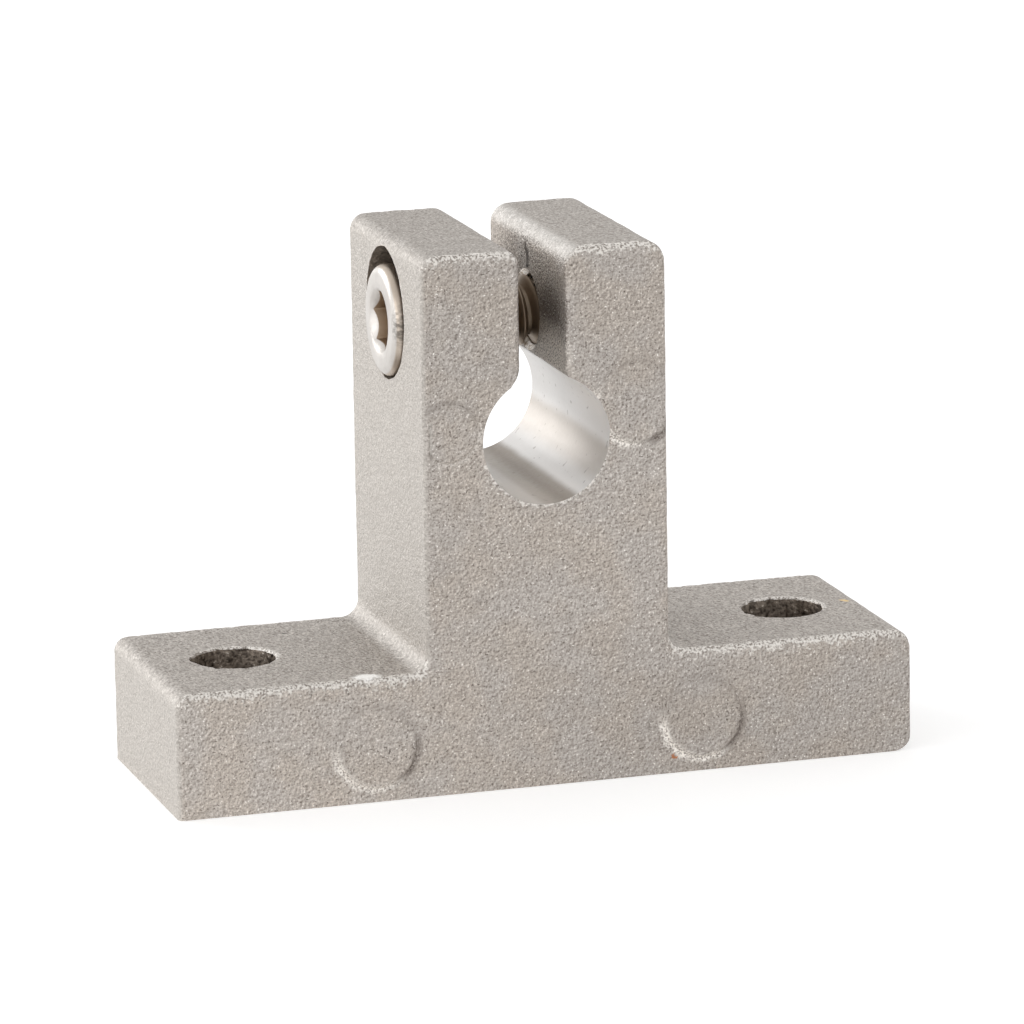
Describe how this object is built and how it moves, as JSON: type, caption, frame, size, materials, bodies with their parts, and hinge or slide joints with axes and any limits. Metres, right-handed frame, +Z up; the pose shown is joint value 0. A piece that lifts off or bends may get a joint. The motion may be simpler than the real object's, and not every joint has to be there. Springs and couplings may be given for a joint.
{
  "type": "shaft support block",
  "caption": "T-shaped cast shaft support with a split bore, a socket head clamp screw across the slot and a drilled base bar.",
  "frame": {"origin": "middle of the base's flat underside", "axes": "+X along the base, away from the clamp screw's head; +Y along the shaft bore, front to back; +Z up"},
  "size_m": [0.0382, 0.0128, 0.027],
  "materials": {
    "cast_metal": "blasted as-cast surface with a fine grain, bright worn edges, smooth bore",
    "screw_steel": "bright plated steel, satin end face, knurled side"
  },
  "bodies": {
    "block": {"support_block": "cast_metal"},
    "screw": {"clamp_screw": "screw_steel"}
  },
  "joints": [
    {"name": "clamp_screw_turn", "type": "hinge", "parent": "block", "child": "screw", "pos_m": [0, 0, 0.02277], "axis": [-1, 0, 0], "range_deg": [0, 1705]}
  ]
}
